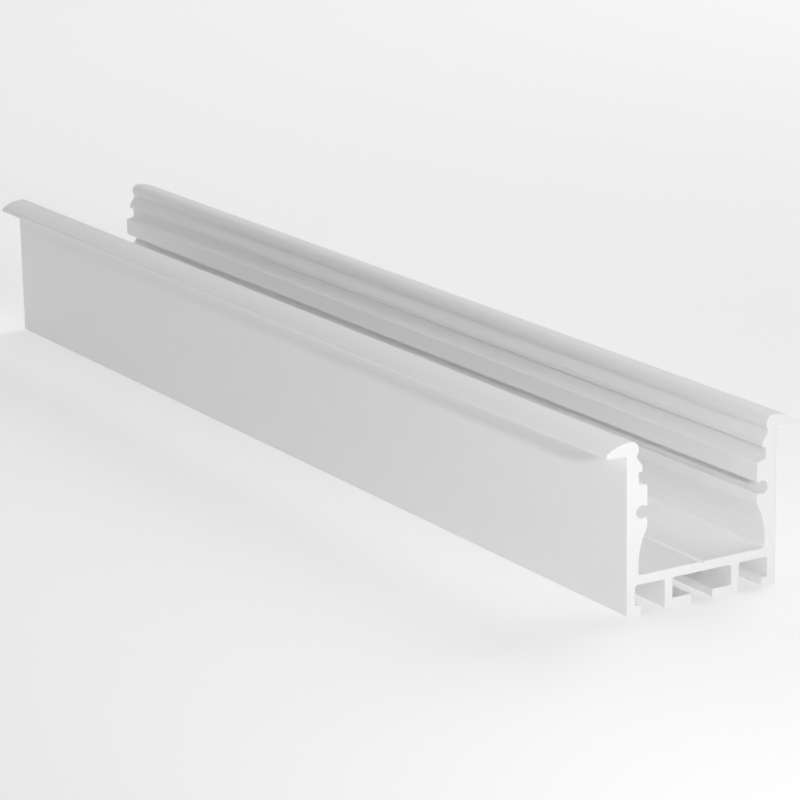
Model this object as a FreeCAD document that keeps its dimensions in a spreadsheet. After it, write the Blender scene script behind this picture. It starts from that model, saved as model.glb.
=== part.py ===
"""Recessed aluminium profile for an LED strip: one extruded channel with a trim flange.

The section lies in the XZ plane and the bar runs along Y. X is the width, Z is up, and the origin
is at the middle of the bar's length, on its centre line, at the level of the feet it stands on.

From the bottom up, each side of the section has a toe and a hooked rail, the web that the strip is
glued to, a wall that flares out to a thick shoulder with an open screw port, the groove and ridge
that hold a snap-in cover, and a beaded lip that carries the domed trim flange.
"""

import FreeCAD, Part
import Sketcher

import math
import os

SIZES = [
    # alias, millimetres, what it is
    ("bar_length", 230.0, "length of the sawn bar"),
    ("body_width", 30.0, "outside of one side wall to outside of the other"),
    # heights, stacked from the feet up
    ("rail_height", 5.0, "feet to underside of web"),
    ("web_thickness", 1.6, "the floor that carries the strip"),
    ("bay_height", 1.9, "straight side of the strip bay, above the web"),
    ("flare_height", 6.4, "height over which the wall thickens to the shoulder"),
    ("port_rise", 2.25, "foot of the shoulder's face to the screw port's axis"),
    ("ledge_rise", 4.75, "screw port's axis to the foot of the cover groove"),
    ("groove_height", 2.0, "height of the cover groove"),
    ("crest_height", 1.0, "height of the ridge's upright crest"),
    ("lead_height", 1.5, "height of the slope that leads a cover over the ridge"),
    ("notch_height", 0.32, "plain band between the ridge and the lip's bead"),
    # wall thicknesses, taken inwards from the outer face, and the steps between faces
    ("toe_wall", 1.65, "wall beside the rails, below the web"),
    ("bay_wall", 2.3, "wall beside the strip bay"),
    ("groove_wall", 2.25, "wall behind the cover groove"),
    ("ledge_depth", 1.75, "shoulder's face, inwards of the groove"),
    ("ledge_fall", 0.35, "drop of the sloping ledge across its depth"),
    ("ridge_catch", 0.75, "ridge's crest, inwards of the groove"),
    ("ridge_lead", 1.12, "notch, outwards of the ridge's crest"),
    ("shoulder_radius", 2.0, "bend from the flare into the shoulder's face"),
    # lip and trim flange
    ("bead_step", 0.4, "lip's bead, inwards of the notch"),
    ("bead_radius", 1.45, "bead on the inside of the lip"),
    ("flange_overhang", 3.95, "flange's tip beyond the outer face"),
    ("flange_thickness", 2.2, "crown of the flange to its seat"),
    ("tip_thickness", 0.72, "what is left of that at the flange's tip"),
    # screw ports, open grooves that take a 2.9 mm self-tapping screw in each end
    ("port_diameter", 2.2, "bore of the screw port"),
    ("port_depth", 1.08, "shoulder's face to the port's axis"),
    ("port_mouth", 1.9, "opening of the port into the channel"),
    # toes and hooked rails under the web
    ("toe_reach", 1.2, "toe, inwards of its wall"),
    ("toe_height", 1.55, "thickness of the toe"),
    ("slot_width", 11.9, "inside of the T-slot, rail to rail"),
    ("slot_gap", 4.1, "mouth of the T-slot, hook to hook"),
    ("rail_thickness", 1.5, "upright of each rail"),
    ("hook_thickness", 1.5, "hook at the foot of each rail"),
    # centre mark, a V scored along the web to guide a drill
    ("mark_width", 1.0, "width of the V"),
    ("mark_depth", 0.35, "depth of the V"),
    # fillets and rounded edges
    ("bay_fillet", 0.5, "web to bay wall"),
    ("root_fillet", 0.5, "roots of the rails, the toe walls and the flange"),
    ("ledge_fillet", 0.4, "ledge to the back of the groove"),
    ("corner_fillet", 0.2, "inner corners of the ridge, notch, hooks and toes"),
    ("ledge_round", 0.35, "edge of the ledge"),
    ("crest_round", 0.6, "upper edge of the ridge's crest"),
    ("catch_round", 0.25, "lower edge of the ridge's crest"),
    ("nose_round", 0.5, "upper edge of the flange's tip"),
    ("toe_round", 0.5, "upper edge of the toe"),
    ("hook_round", 0.35, "edges of the hook's tip"),
    ("edge_round", 0.15, "lower edges and the screw port's mouth"),
]

# the sketcher counts its own axes down from -1, and the named points of a line or an arc up from 1
LEVEL_AXIS, UPRIGHT_AXIS = range(-1, -3, -1)
START, END, CENTRE = range(1, 4)

QUARTER_TURN = math.pi / 2
SAME_PLACE = 1e-4

doc = FreeCAD.newDocument("led_profile")
sheet = doc.addObject("Spreadsheet::Sheet", "Sizes")
for row, (alias, millimetres, meaning) in enumerate(SIZES, start=1):
    sheet.set(f"A{row}", meaning)
    sheet.set(f"B{row}", str(millimetres))
    sheet.setAlias(f"B{row}", alias)
doc.recompute()


def size(alias):
    """The expression that reads one size from the sheet."""
    return f"Sizes.{alias}"


def plus(*terms):
    return "(" + " + ".join(terms) + ")"


def minus(*terms):
    return "(" + " - ".join(terms) + ")"


def half(term):
    return f"({term} / 2)"


def value_of(expression):
    """What an expression comes to with the sizes as they are, in millimetres."""
    return float(sheet.evalExpression(expression))


# levels of the section, each the one below it and the height between them
FEET = "0"
TOE_TOP = size("toe_height")
HOOK_TOP = size("hook_thickness")
WEB_UNDERSIDE = size("rail_height")
WEB_TOP = plus(WEB_UNDERSIDE, size("web_thickness"))
MARK_BOTTOM = minus(WEB_TOP, size("mark_depth"))
FLARE_START = plus(WEB_TOP, size("bay_height"))
SHOULDER_START = plus(FLARE_START, size("flare_height"))
PORT_LEVEL = plus(SHOULDER_START, size("port_rise"))
MOUTH_BOTTOM = minus(PORT_LEVEL, half(size("port_mouth")))
MOUTH_TOP = plus(PORT_LEVEL, half(size("port_mouth")))
LEDGE = plus(PORT_LEVEL, size("ledge_rise"))
LEDGE_EDGE = minus(LEDGE, size("ledge_fall"))
RIDGE_UNDERSIDE = plus(LEDGE, size("groove_height"))
CREST_TOP = plus(RIDGE_UNDERSIDE, size("crest_height"))
NOTCH_START = plus(CREST_TOP, size("lead_height"))
BEAD_START = plus(NOTCH_START, size("notch_height"))
# the bead's circle stands proud of the notch by its step, so it rises this much to its middle
BEAD_SWELL = "sqrt(Sizes.bead_step * (2 * Sizes.bead_radius - Sizes.bead_step))"
BEAD_MIDDLE = plus(BEAD_START, BEAD_SWELL)
BEAD_FOOT = minus(BEAD_MIDDLE, size("bead_radius"))
CROWN = plus(BEAD_MIDDLE, size("bead_radius"))
FLANGE_SEAT = minus(CROWN, size("flange_thickness"))
TIP_TOP = plus(FLANGE_SEAT, size("tip_thickness"))

# distances from the centre line
CENTRE_LINE = "0"
MARK_EDGE = half(size("mark_width"))
HOOK_TIP = half(size("slot_gap"))
RAIL_INSIDE = half(size("slot_width"))
RAIL_OUTSIDE = plus(RAIL_INSIDE, size("rail_thickness"))
OUTER_FACE = half(size("body_width"))
TOE_WALL_FACE = minus(OUTER_FACE, size("toe_wall"))
TOE_FACE = minus(TOE_WALL_FACE, size("toe_reach"))
BAY_FACE = minus(OUTER_FACE, size("bay_wall"))
GROOVE_FACE = minus(OUTER_FACE, size("groove_wall"))
SHOULDER_FACE = minus(GROOVE_FACE, size("ledge_depth"))
MOUTH_START = minus(SHOULDER_FACE, size("port_depth"))
PORT_AXIS = plus(SHOULDER_FACE, size("port_depth"))
CREST_FACE = minus(GROOVE_FACE, size("ridge_catch"))
NOTCH_FACE = plus(CREST_FACE, size("ridge_lead"))
CROWN_LINE = plus(minus(NOTCH_FACE, size("bead_step")), size("bead_radius"))
FLANGE_TIP = plus(OUTER_FACE, size("flange_overhang"))


def section_sketch(body, name):
    """An empty sketch on the body's XZ plane, with its x across the bar and its y up."""
    sketch = body.newObject("Sketcher::SketchObject", name)
    plane = next(f for f in body.Origin.OriginFeatures if f.Role == "XZ_Plane")
    sketch.AttachmentSupport = [(plane, "")]
    sketch.MapMode = "FlatFace"
    return sketch


def constrain(sketch, kind, *places):
    sketch.addConstraint(Sketcher.Constraint(kind, *places))


def dimension(sketch, kind, *places, expression):
    """Adds a dimension between places of the sketch, bound to an expression."""
    index = sketch.addConstraint(Sketcher.Constraint(kind, *places, value_of(expression)))
    sketch.setExpression(f"Constraints[{index}]", expression)


def set_across(sketch, geometry, point, expression):
    if expression == CENTRE_LINE:
        constrain(sketch, "PointOnObject", geometry, point, UPRIGHT_AXIS)
    else:
        dimension(sketch, "DistanceX", LEVEL_AXIS, START, geometry, point, expression=expression)


def set_up(sketch, geometry, point, expression):
    if expression == FEET:
        constrain(sketch, "PointOnObject", geometry, point, LEVEL_AXIS)
    else:
        dimension(sketch, "DistanceY", LEVEL_AXIS, START, geometry, point, expression=expression)


def draw_sides(sketch, corners, closed=True):
    """Draws and dimensions straight sides between corners, each (across, up) as expressions.

    A side whose ends share an expression is made upright or level, so each straight run of the
    section has one dimension. An open run leaves the way from its last corner to its first to be
    drawn as arcs. Returns the numbers of the sides in the sketch.
    """
    points = [FreeCAD.Vector(value_of(across), value_of(up), 0) for across, up in corners]
    ends = range(1, len(corners) + 1) if closed else range(1, len(corners))
    sides = [
        sketch.addGeometry(Part.LineSegment(points[end - 1], points[end % len(points)]))
        for end in ends
    ]
    for side, following in zip(sides, sides[1:]):
        constrain(sketch, "Coincident", side, END, following, START)
    if closed:
        constrain(sketch, "Coincident", sides[-1], END, sides[0], START)

    for side, end in zip(sides, ends):
        start_across, start_up = corners[end - 1]
        end_across, end_up = corners[end % len(corners)]
        if start_across == end_across:
            constrain(sketch, "Vertical", side)
        else:
            set_across(sketch, side, END, end_across)
        if start_up == end_up:
            constrain(sketch, "Horizontal", side)
        else:
            set_up(sketch, side, END, end_up)
    if not closed:
        set_across(sketch, sides[0], START, corners[0][0])
        set_up(sketch, sides[0], START, corners[0][1])
    return sides


def draw_arc(sketch, centre, radius, start_angle, end_angle):
    """Draws an anticlockwise arc and returns its number."""
    circle = Part.Circle(FreeCAD.Vector(*centre, 0), FreeCAD.Vector(0, 0, 1), radius)
    return sketch.addGeometry(Part.ArcOfCircle(circle, start_angle, end_angle))


def extrude(body, kind, sketch, name):
    """Extends a sketch both ways from the middle of the bar, over its whole length."""
    feature = body.newObject(kind, name)
    feature.Profile = sketch
    feature.SideType = "Symmetric"
    feature.setExpression("Length", size("bar_length"))
    body.Tip = feature


def long_edge(shape, across, up):
    """The name of the edge that runs the length of the bar at one corner of the section."""
    x, z = value_of(across), value_of(up)
    for number, edge in enumerate(shape.Edges, start=1):
        if all(math.hypot(v.X - x, v.Z - z) < SAME_PLACE for v in edge.Vertexes):
            return f"Edge{number}"
    raise ValueError(f"no edge along the bar at {x:.3f}, {z:.3f}")


def round_edges(body, name, radius, corners):
    """Fillets the edges that run along the bar at corners of the section."""
    doc.recompute()
    base = body.Tip
    fillet = body.newObject("PartDesign::Fillet", name)
    fillet.Base = (base, [long_edge(base.Shape, across, up) for across, up in corners])
    fillet.setExpression("Radius", size(radius))
    body.Tip = fillet


def side_wall(body):
    """The wall from the feet to the lip, with the shape of its inner side."""
    sketch = section_sketch(body, "wall_section")
    corners = [
        (BAY_FACE, FLARE_START),
        (BAY_FACE, WEB_UNDERSIDE),
        (TOE_WALL_FACE, WEB_UNDERSIDE),
        (TOE_WALL_FACE, FEET),
        (OUTER_FACE, FEET),
        (OUTER_FACE, BEAD_MIDDLE),
        (NOTCH_FACE, BEAD_MIDDLE),
        (NOTCH_FACE, NOTCH_START),
        (CREST_FACE, CREST_TOP),
        (CREST_FACE, RIDGE_UNDERSIDE),
        (GROOVE_FACE, RIDGE_UNDERSIDE),
        (GROOVE_FACE, LEDGE),
        (SHOULDER_FACE, LEDGE_EDGE),
        (SHOULDER_FACE, SHOULDER_START),
    ]
    bay_side, *_, shoulder_side = draw_sides(sketch, corners, closed=False)

    # an S of two arcs, tangent to each other, to the bay's side and to the shoulder's face
    rise = value_of(size("flare_height"))
    bend = 2 * math.atan2(value_of(BAY_FACE) - value_of(SHOULDER_FACE), rise)
    shoulder_radius = value_of(size("shoulder_radius"))
    flare_radius = rise / math.sin(bend) - shoulder_radius
    shoulder_centre = (value_of(SHOULDER_FACE) + shoulder_radius, value_of(SHOULDER_START))
    flare_centre = (value_of(BAY_FACE) - flare_radius, value_of(FLARE_START))
    shoulder_bend = draw_arc(sketch, shoulder_centre, shoulder_radius, math.pi, math.pi + bend)
    flare = draw_arc(sketch, flare_centre, flare_radius, 0, bend)
    constrain(sketch, "Tangent", shoulder_side, END, shoulder_bend, START)
    constrain(sketch, "Tangent", shoulder_bend, END, flare, END)
    constrain(sketch, "Tangent", flare, START, bay_side, START)
    dimension(sketch, "Radius", shoulder_bend, expression=size("shoulder_radius"))
    extrude(body, "PartDesign::Pad", sketch, "side_wall")


def lip_and_flange(body):
    """The bead at the mouth of the channel and the domed flange that covers the cut edge."""
    sketch = section_sketch(body, "flange_section")
    corners = [
        (FLANGE_TIP, TIP_TOP),
        (FLANGE_TIP, FLANGE_SEAT),
        (CROWN_LINE, FLANGE_SEAT),
        (CROWN_LINE, BEAD_FOOT),
    ]
    tip_side, *_, crown_side = draw_sides(sketch, corners, closed=False)

    bead_radius = value_of(size("bead_radius"))
    bead_centre = (value_of(CROWN_LINE), value_of(BEAD_MIDDLE))
    bead = draw_arc(sketch, bead_centre, bead_radius, QUARTER_TURN, 3 * QUARTER_TURN)
    constrain(sketch, "Coincident", crown_side, END, bead, END)
    constrain(sketch, "Vertical", bead, CENTRE, bead, END)
    constrain(sketch, "Vertical", bead, CENTRE, bead, START)
    dimension(sketch, "Radius", bead, expression=size("bead_radius"))

    # the dome leaves the crown level and falls to the tip
    reach = value_of(FLANGE_TIP) - value_of(CROWN_LINE)
    fall = value_of(CROWN) - value_of(TIP_TOP)
    dome_radius = (reach ** 2 + fall ** 2) / (2 * fall)
    dome_centre = (value_of(CROWN_LINE), value_of(CROWN) - dome_radius)
    dome_bend = math.asin(reach / dome_radius)
    dome = draw_arc(sketch, dome_centre, dome_radius, QUARTER_TURN - dome_bend, QUARTER_TURN)
    constrain(sketch, "Tangent", bead, START, dome, END)
    constrain(sketch, "Coincident", dome, START, tip_side, START)
    extrude(body, "PartDesign::Pad", sketch, "lip_and_flange")


def web(body):
    """Half of the web, from the centre mark to the wall."""
    sketch = section_sketch(body, "web_section")
    corners = [
        (CENTRE_LINE, WEB_UNDERSIDE),
        (OUTER_FACE, WEB_UNDERSIDE),
        (OUTER_FACE, WEB_TOP),
        (MARK_EDGE, WEB_TOP),
        (CENTRE_LINE, MARK_BOTTOM),
    ]
    draw_sides(sketch, corners)
    extrude(body, "PartDesign::Pad", sketch, "web")


def toe(body):
    """The turned-in foot of the outer wall."""
    sketch = section_sketch(body, "toe_section")
    corners = [
        (TOE_FACE, FEET),
        (OUTER_FACE, FEET),
        (OUTER_FACE, TOE_TOP),
        (TOE_FACE, TOE_TOP),
    ]
    draw_sides(sketch, corners)
    extrude(body, "PartDesign::Pad", sketch, "toe")


def rail(body):
    """The hooked rail that, with its mirror image, makes the T-slot for mounting clips."""
    sketch = section_sketch(body, "rail_section")
    corners = [
        (HOOK_TIP, FEET),
        (RAIL_OUTSIDE, FEET),
        (RAIL_OUTSIDE, WEB_UNDERSIDE),
        (RAIL_INSIDE, WEB_UNDERSIDE),
        (RAIL_INSIDE, HOOK_TOP),
        (HOOK_TIP, HOOK_TOP),
    ]
    draw_sides(sketch, corners)
    extrude(body, "PartDesign::Pad", sketch, "rail")


def screw_port(body):
    """The open bore in the shoulder that an end cap's screw cuts its thread in."""
    bore = section_sketch(body, "port_bore_section")
    axis = FreeCAD.Vector(value_of(PORT_AXIS), value_of(PORT_LEVEL), 0)
    radius = value_of(half(size("port_diameter")))
    circle = bore.addGeometry(Part.Circle(axis, FreeCAD.Vector(0, 0, 1), radius))
    dimension(bore, "Diameter", circle, expression=size("port_diameter"))
    set_across(bore, circle, CENTRE, PORT_AXIS)
    set_up(bore, circle, CENTRE, PORT_LEVEL)
    extrude(body, "PartDesign::Pocket", bore, "port_bore")

    mouth = section_sketch(body, "port_mouth_section")
    corners = [
        (MOUTH_START, MOUTH_BOTTOM),
        (PORT_AXIS, MOUTH_BOTTOM),
        (PORT_AXIS, MOUTH_TOP),
        (MOUTH_START, MOUTH_TOP),
    ]
    draw_sides(mouth, corners)
    extrude(body, "PartDesign::Pocket", mouth, "port_mouth")


def fillets_and_rounds(body):
    """Every fillet and rounded edge of the half section."""
    round_edges(body, "bay_fillets", "bay_fillet", [(BAY_FACE, WEB_TOP)])
    round_edges(body, "root_fillets", "root_fillet", [
        (RAIL_INSIDE, WEB_UNDERSIDE),
        (RAIL_OUTSIDE, WEB_UNDERSIDE),
        (TOE_WALL_FACE, WEB_UNDERSIDE),
        (OUTER_FACE, FLANGE_SEAT),
    ])
    round_edges(body, "ledge_fillets", "ledge_fillet", [(GROOVE_FACE, LEDGE)])
    round_edges(body, "corner_fillets", "corner_fillet", [
        (RAIL_INSIDE, HOOK_TOP),
        (TOE_WALL_FACE, TOE_TOP),
        (GROOVE_FACE, RIDGE_UNDERSIDE),
        (NOTCH_FACE, NOTCH_START),
    ])
    round_edges(body, "ledge_rounds", "ledge_round", [(SHOULDER_FACE, LEDGE_EDGE)])
    round_edges(body, "crest_rounds", "crest_round", [(CREST_FACE, CREST_TOP)])
    round_edges(body, "catch_rounds", "catch_round", [(CREST_FACE, RIDGE_UNDERSIDE)])
    round_edges(body, "nose_rounds", "nose_round", [(FLANGE_TIP, TIP_TOP)])
    round_edges(body, "toe_rounds", "toe_round", [(TOE_FACE, TOE_TOP)])
    round_edges(body, "hook_rounds", "hook_round", [(HOOK_TIP, HOOK_TOP), (HOOK_TIP, FEET)])
    round_edges(body, "edge_rounds", "edge_round", [
        (RAIL_OUTSIDE, FEET),
        (TOE_FACE, FEET),
        (OUTER_FACE, FEET),
        (FLANGE_TIP, FLANGE_SEAT),
        (SHOULDER_FACE, MOUTH_BOTTOM),
        (SHOULDER_FACE, MOUTH_TOP),
    ])


def mirror_about_centre(body):
    """Completes the section with the mirror image of the half that was built."""
    doc.recompute()
    plane = next(f for f in body.Origin.OriginFeatures if f.Role == "YZ_Plane")
    mirrored = body.newObject("PartDesign::Mirrored", "other_half")
    mirrored.TransformMode = "Whole shape"
    mirrored.MirrorPlane = (plane, [""])
    body.Tip = mirrored


def build_profile():
    body = doc.addObject("PartDesign::Body", "profile")
    body.Label = "profile"
    side_wall(body)
    lip_and_flange(body)
    web(body)
    toe(body)
    rail(body)
    screw_port(body)
    fillets_and_rounds(body)
    mirror_about_centre(body)
    return body


def check(body):
    """Stops before anything is written if a feature failed or a sketch can still move."""
    for thing in doc.Objects:
        if "Invalid" in thing.State or "Error" in thing.State:
            raise RuntimeError(f"{thing.Name} did not build: {thing.State}")
        if thing.TypeId == "Sketcher::SketchObject" and not thing.FullyConstrained:
            raise RuntimeError(f"{thing.Name} is not fully constrained")
    if body.Shape.isNull() or not body.Shape.isValid() or len(body.Shape.Solids) != 1:
        raise RuntimeError(f"{body.Label} is not one sound solid")


profile = build_profile()
doc.recompute()
check(profile)
os.makedirs("parts", exist_ok=True)
profile.Shape.exportStep(f"parts/{profile.Label}.step")
box = profile.Shape.BoundBox
print(f"{profile.Label}: {box.XLength:.2f} x {box.YLength:.2f} x {box.ZLength:.2f} mm,",
      f"{profile.Shape.Volume / 1000:.2f} cm3, {len(profile.Shape.Faces)} faces")
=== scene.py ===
"""White coated profile for an LED strip, lying on a pale studio floor."""

from math import radians

import bpy
from mathutils import Matrix, Vector


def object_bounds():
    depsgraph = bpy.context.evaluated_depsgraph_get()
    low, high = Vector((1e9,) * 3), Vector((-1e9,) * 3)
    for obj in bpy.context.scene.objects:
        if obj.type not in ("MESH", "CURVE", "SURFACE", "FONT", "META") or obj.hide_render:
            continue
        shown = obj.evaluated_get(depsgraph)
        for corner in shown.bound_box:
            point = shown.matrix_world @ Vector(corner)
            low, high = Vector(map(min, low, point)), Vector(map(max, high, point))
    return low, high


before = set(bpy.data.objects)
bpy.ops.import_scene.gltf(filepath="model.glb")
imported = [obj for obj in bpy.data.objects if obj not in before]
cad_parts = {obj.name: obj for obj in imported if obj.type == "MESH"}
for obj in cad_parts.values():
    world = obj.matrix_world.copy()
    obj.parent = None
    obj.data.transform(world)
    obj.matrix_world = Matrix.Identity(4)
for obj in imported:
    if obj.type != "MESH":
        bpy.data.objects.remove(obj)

cad_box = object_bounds()
HALF_LENGTH = cad_box[1][1]
scene = bpy.context.scene
scene.view_settings.view_transform = "Standard"


# Helpers for materials

def grey(level):
    return (level, level, level, 1.0)


def new_material(name):
    """A node material with a shader on its output. Gives back the material, its tree and the shader."""
    material = bpy.data.materials.new(name)
    material.use_nodes = True
    tree = material.node_tree
    tree.nodes.clear()
    shader = tree.nodes.new("ShaderNodeBsdfPrincipled")
    output = tree.nodes.new("ShaderNodeOutputMaterial")
    tree.links.new(shader.outputs["BSDF"], output.inputs["Surface"])
    return material, tree, shader


def add(tree, kind, links=None, **settings):
    """Adds a node, sets its properties, and links or sets its inputs by name or number."""
    node = tree.nodes.new(kind)
    for key, value in settings.items():
        setattr(node, key, value)
    for key, value in (links or {}).items():
        if isinstance(value, bpy.types.NodeSocket):
            tree.links.new(value, node.inputs[key])
        else:
            node.inputs[key].default_value = value
    return node


def noise(tree, vector, scale, detail=2.0):
    """A noise over a vector in metres, so a scale of 1000 has features of about a millimetre."""
    links = {"Vector": vector, "Scale": scale, "Detail": detail}
    return add(tree, "ShaderNodeTexNoise", links).outputs["Fac"]


def between(tree, factor, low, high):
    """Turns a factor from 0 to 1 into a value from low to high."""
    links = {"Value": factor, "To Min": low, "To Max": high}
    return add(tree, "ShaderNodeMapRange", links).outputs["Result"]


def ramp(tree, value, start, end):
    """Rises smoothly from 0 to 1 as a value goes from start to end."""
    links = {"Value": value, "From Min": start, "From Max": end}
    node = add(tree, "ShaderNodeMapRange", links, interpolation_type="SMOOTHSTEP")
    return node.outputs["Result"]


def blend(tree, factor, first, second):
    """Mixes two tones, each a grey level or the colour of another blend."""
    first, second = (
        tone if isinstance(tone, bpy.types.NodeSocket) else grey(tone) for tone in (first, second)
    )
    node = add(tree, "ShaderNodeMix", {"Factor": factor, 6: first, 7: second}, data_type="RGBA")
    return node.outputs[2]


def bump(tree, height, strength, distance, normal=None):
    links = {"Height": height, "Strength": strength, "Distance": distance}
    if normal is not None:
        links["Normal"] = normal
    return add(tree, "ShaderNodeBump", links).outputs["Normal"]


def size_of_y(tree, vector):
    """How far a vector reaches along the bar, either way."""
    part = add(tree, "ShaderNodeSeparateXYZ", {"Vector": vector}).outputs["Y"]
    return add(tree, "ShaderNodeMath", {0: part}, operation="ABSOLUTE").outputs["Value"]


# The coat: satin white powder over an extrusion, with a fine orange peel. A painted highlight makes it
# a little lighter beside the cuts, and the cut faces keep the faint arcs of the saw. Lengths are in
# metres.

COAT_TONES = (0.920, 0.940)
# Painted highlight: the lighter tone and the width of the band beside the cut ends.
EDGE_HIGHLIGHT_TONE = 0.950
CUT_TONES = (0.815, 0.835)
ROUGHNESS = (0.40, 0.50)
SPECULAR = 0.35
EDGE_HIGHLIGHT_WIDTH = 0.0011
STRETCH_ALONG = (1.0, 0.004, 1.0)
SAW_AXIS = (0.07, 0.0, -0.11)
SAW_STRENGTH = 0.12


def powder_coat():
    material, tree, shader = new_material("white_powder_coat")
    place = add(tree, "ShaderNodeTexCoord").outputs["Object"]
    facing = add(tree, "ShaderNodeNewGeometry").outputs["Normal"]
    # Painted highlight: a band about a millimetre wide next to each cut end is picked out here.
    painted_edge_highlight = ramp(tree, size_of_y(tree, place), HALF_LENGTH - EDGE_HIGHLIGHT_WIDTH, HALF_LENGTH)
    on_cut = ramp(tree, size_of_y(tree, facing), 0.6, 0.9)

    mottle = noise(tree, place, 120.0, detail=4.0)
    tone = blend(tree, mottle, *COAT_TONES)
    # Painted highlight: the coat is given a lighter tone beside the cut ends.
    tone = blend(tree, painted_edge_highlight, tone, EDGE_HIGHLIGHT_TONE)
    tone = blend(tree, on_cut, tone, blend(tree, mottle, *CUT_TONES))
    tree.links.new(tone, shader.inputs["Base Color"])

    peel = noise(tree, place, 1900.0)
    tree.links.new(between(tree, peel, *ROUGHNESS), shader.inputs["Roughness"])
    shader.inputs["Specular IOR Level"].default_value = SPECULAR

    swell = noise(tree, place, 260.0)
    along = add(tree, "ShaderNodeMapping", {"Vector": place, "Scale": STRETCH_ALONG})
    die_lines = noise(tree, along.outputs["Vector"], 1600.0, detail=3.0)
    to_axis = add(tree, "ShaderNodeVectorMath", {0: place, 1: SAW_AXIS}, operation="DISTANCE")
    arcs = add(tree, "ShaderNodeTexNoise", {
        "W": to_axis.outputs["Value"], "Scale": 2600.0, "Detail": 2.0,
    }, noise_dimensions="1D")
    saw = add(tree, "ShaderNodeMath", {0: on_cut, 1: SAW_STRENGTH}, operation="MULTIPLY")

    normal = bump(tree, swell, strength=0.10, distance=0.00004)
    normal = bump(tree, die_lines, strength=0.12, distance=0.00002, normal=normal)
    normal = bump(tree, peel, strength=0.16, distance=0.00003, normal=normal)
    normal = bump(tree, arcs.outputs["Fac"], saw.outputs["Value"], distance=0.00003, normal=normal)
    tree.links.new(normal, shader.inputs["Normal"])
    return material


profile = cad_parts["profile"]
profile.data.materials.clear()
profile.data.materials.append(powder_coat())


# Floor: it glows a little of itself, and lies a hair under the feet so that no faces coincide

FLOOR_REACH = 1.2
FLOOR_DROP = 0.00005
FLOOR_TONE = 0.77
FLOOR_GLOW = 0.30


def floor():
    mesh = bpy.data.meshes.new("floor")
    signs = ((-1, -1), (1, -1), (1, 1), (-1, 1))
    mesh.from_pydata([(x * FLOOR_REACH, y * FLOOR_REACH, 0) for x, y in signs], [], [(0, 1, 2, 3)])
    plane = bpy.data.objects.new("floor", mesh)
    plane.location.z = -FLOOR_DROP
    scene.collection.objects.link(plane)
    material, _, shader = new_material("pale_floor")
    shader.inputs["Base Color"].default_value = grey(FLOOR_TONE)
    shader.inputs["Roughness"].default_value = 0.9
    shader.inputs["Specular IOR Level"].default_value = 0.1
    shader.inputs["Emission Color"].default_value = grey(1.0)
    shader.inputs["Emission Strength"].default_value = FLOOR_GLOW
    mesh.materials.append(material)


floor()


# Lights: softboxes round the bar, and a small lamp in front that throws the flange's soft shadow

SOFTBOX_SIZE = 0.9
SOFTBOX_DISTANCE = 1.2
BAR_MIDDLE = Vector((0.0, 0.0, 0.015))
FLANGE_TIP = Vector((-0.01895, -0.115, 0.027))
LAMP_FROM_TIP = Vector((-0.070, -0.279, 0.086))


def area_light(name, location, target, size, power, spread=180):
    light = bpy.data.lights.new(name, "AREA")
    light.shape = "DISK"
    light.size = size
    light.energy = power
    light.spread = radians(spread)
    lamp = bpy.data.objects.new(name, light)
    lamp.location = location
    lamp.rotation_euler = (target - location).to_track_quat("-Z", "Y").to_euler()
    scene.collection.objects.link(lamp)


def softbox(name, azimuth, elevation, power):
    """A large light aimed at the bar. Azimuth 0 is in front of its near end, 90 to its right."""
    turn = Matrix.Rotation(radians(azimuth), 3, "Z") @ Matrix.Rotation(-radians(elevation), 3, "X")
    location = turn @ Vector((0.0, -SOFTBOX_DISTANCE, 0.0))
    area_light(name, location, BAR_MIDDLE, SOFTBOX_SIZE, power)


softbox("softbox_right", azimuth=105, elevation=37, power=5.0)
softbox("softbox_back_right", azimuth=135, elevation=35, power=1.6)
softbox("softbox_back", azimuth=180, elevation=30, power=1.6)
softbox("softbox_back_left", azimuth=-120, elevation=55, power=1.7)
softbox("softbox_front_left", azimuth=-45, elevation=42, power=1.4)
softbox("softbox_top", azimuth=0, elevation=89, power=2.6)
area_light("key", FLANGE_TIP + LAMP_FROM_TIP, FLANGE_TIP, size=0.022, power=0.077, spread=70)


# Studio wall all round: pale where the floor ends, dark from 15 degrees up

WALL_LEVEL = 0.66
WALL_FADE = (0.05, 0.26)


def studio_world():
    world = bpy.data.worlds.new("studio")
    world.use_nodes = True
    tree = world.node_tree
    direction = add(tree, "ShaderNodeTexCoord").outputs["Generated"]
    height = add(tree, "ShaderNodeSeparateXYZ", {"Vector": direction}).outputs["Z"]
    level = between(tree, ramp(tree, height, *WALL_FADE), WALL_LEVEL, 0.0)
    background = tree.nodes["Background"]
    background.inputs["Color"].default_value = grey(1.0)
    tree.links.new(level, background.inputs["Strength"])
    return world


scene.world = studio_world()


# Camera, from the photograph's perspective

CAMERA_PLACE = (-0.29147, -0.50498, 0.16891)
AZIMUTH = radians(-31.033)
ELEVATION = radians(15.486)
ROLL = radians(-0.954)

lens = bpy.data.cameras.new("camera")
lens.sensor_width = 36.0
lens.lens = 141.15
camera = bpy.data.objects.new("camera", lens)
camera.matrix_world = (
    Matrix.Translation(CAMERA_PLACE)
    @ Matrix.Rotation(AZIMUTH, 4, "Z")
    @ Matrix.Rotation(radians(90) - ELEVATION, 4, "X")
    @ Matrix.Rotation(ROLL, 4, "Z")
)
scene.collection.objects.link(camera)
scene.camera = camera
